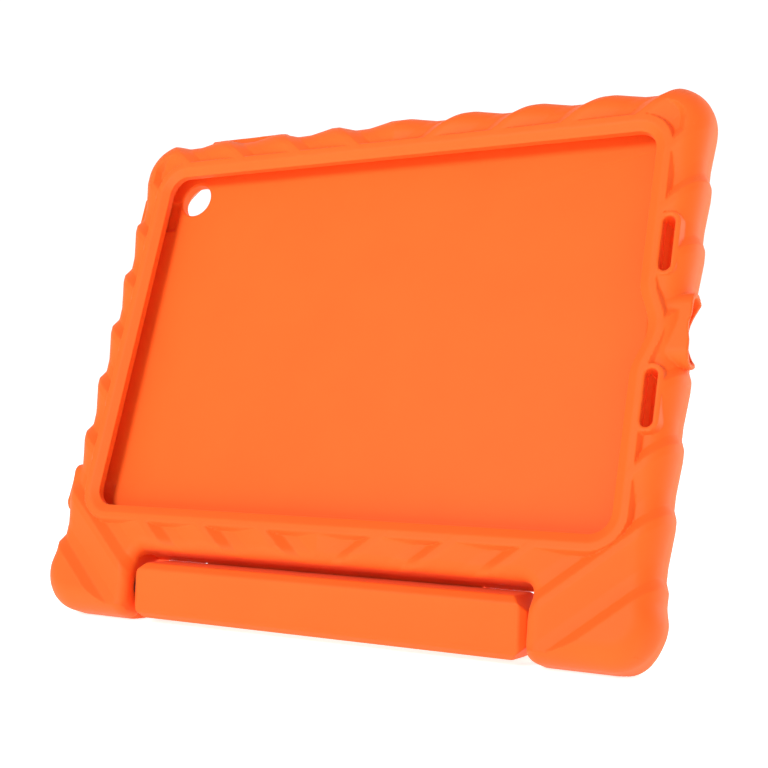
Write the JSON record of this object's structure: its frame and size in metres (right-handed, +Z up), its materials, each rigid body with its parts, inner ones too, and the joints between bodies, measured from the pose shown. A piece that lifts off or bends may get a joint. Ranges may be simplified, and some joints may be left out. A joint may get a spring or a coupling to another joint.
{
  "type": "tablet case",
  "caption": "Leaning foam bumper case for a tablet, with a tyre-like tread, tall feet and a hinged handle that swings out as a stand.",
  "frame": {"origin": "on the floor, under the middle of the standing case's bounding box", "axes": "+X across the screen to the home-button side, +Y from the screen towards the back, +Z up; the case stands on its feet and its swung-out handle, leaning back 19.75 degrees"},
  "size_m": [0.2784, 0.0966, 0.2168],
  "materials": {
    "shell_foam": "matte",
    "handle_foam": "matte",
    "core_nylon": "satin",
    "rod_steel": "satin",
    "bush_nylon": "satin",
    "washer_acetal": "satin"
  },
  "bodies": {
    "case": {"foam_shell": "shell_foam", "hinge_bush_left": "bush_nylon", "hinge_bush_right": "bush_nylon"},
    "handle": {"handle_foam": "handle_foam", "handle_core": "core_nylon", "hinge_rod": "rod_steel", "friction_washer_left": "washer_acetal", "friction_washer_right": "washer_acetal"},
    "power_button": {"power_button_pad": "shell_foam"},
    "volume_up_button": {"volume_up_pad": "shell_foam"},
    "volume_down_button": {"volume_down_pad": "shell_foam"}
  },
  "joints": [
    {"name": "handle_hinge", "type": "hinge", "parent": "case", "child": "handle", "pos_m": [0, -0.03196, 0.01457], "axis": [1, 0, 0], "range_deg": [-106.26, 73.74]},
    {"name": "power_press", "type": "slide", "parent": "case", "child": "power_button", "axis": [1, 0, 0], "range_m": [0, 0.0008], "stiffness_N_per_m": 1500, "springref_m": -0.0004},
    {"name": "volume_up_press", "type": "slide", "parent": "case", "child": "volume_up_button", "axis": [0, -0.3379, -0.9412], "range_m": [0, 0.0008], "stiffness_N_per_m": 1500, "springref_m": -0.0004},
    {"name": "volume_down_press", "type": "slide", "parent": "case", "child": "volume_down_button", "axis": [0, -0.3379, -0.9412], "range_m": [0, 0.0008], "stiffness_N_per_m": 1500, "springref_m": -0.0004}
  ]
}
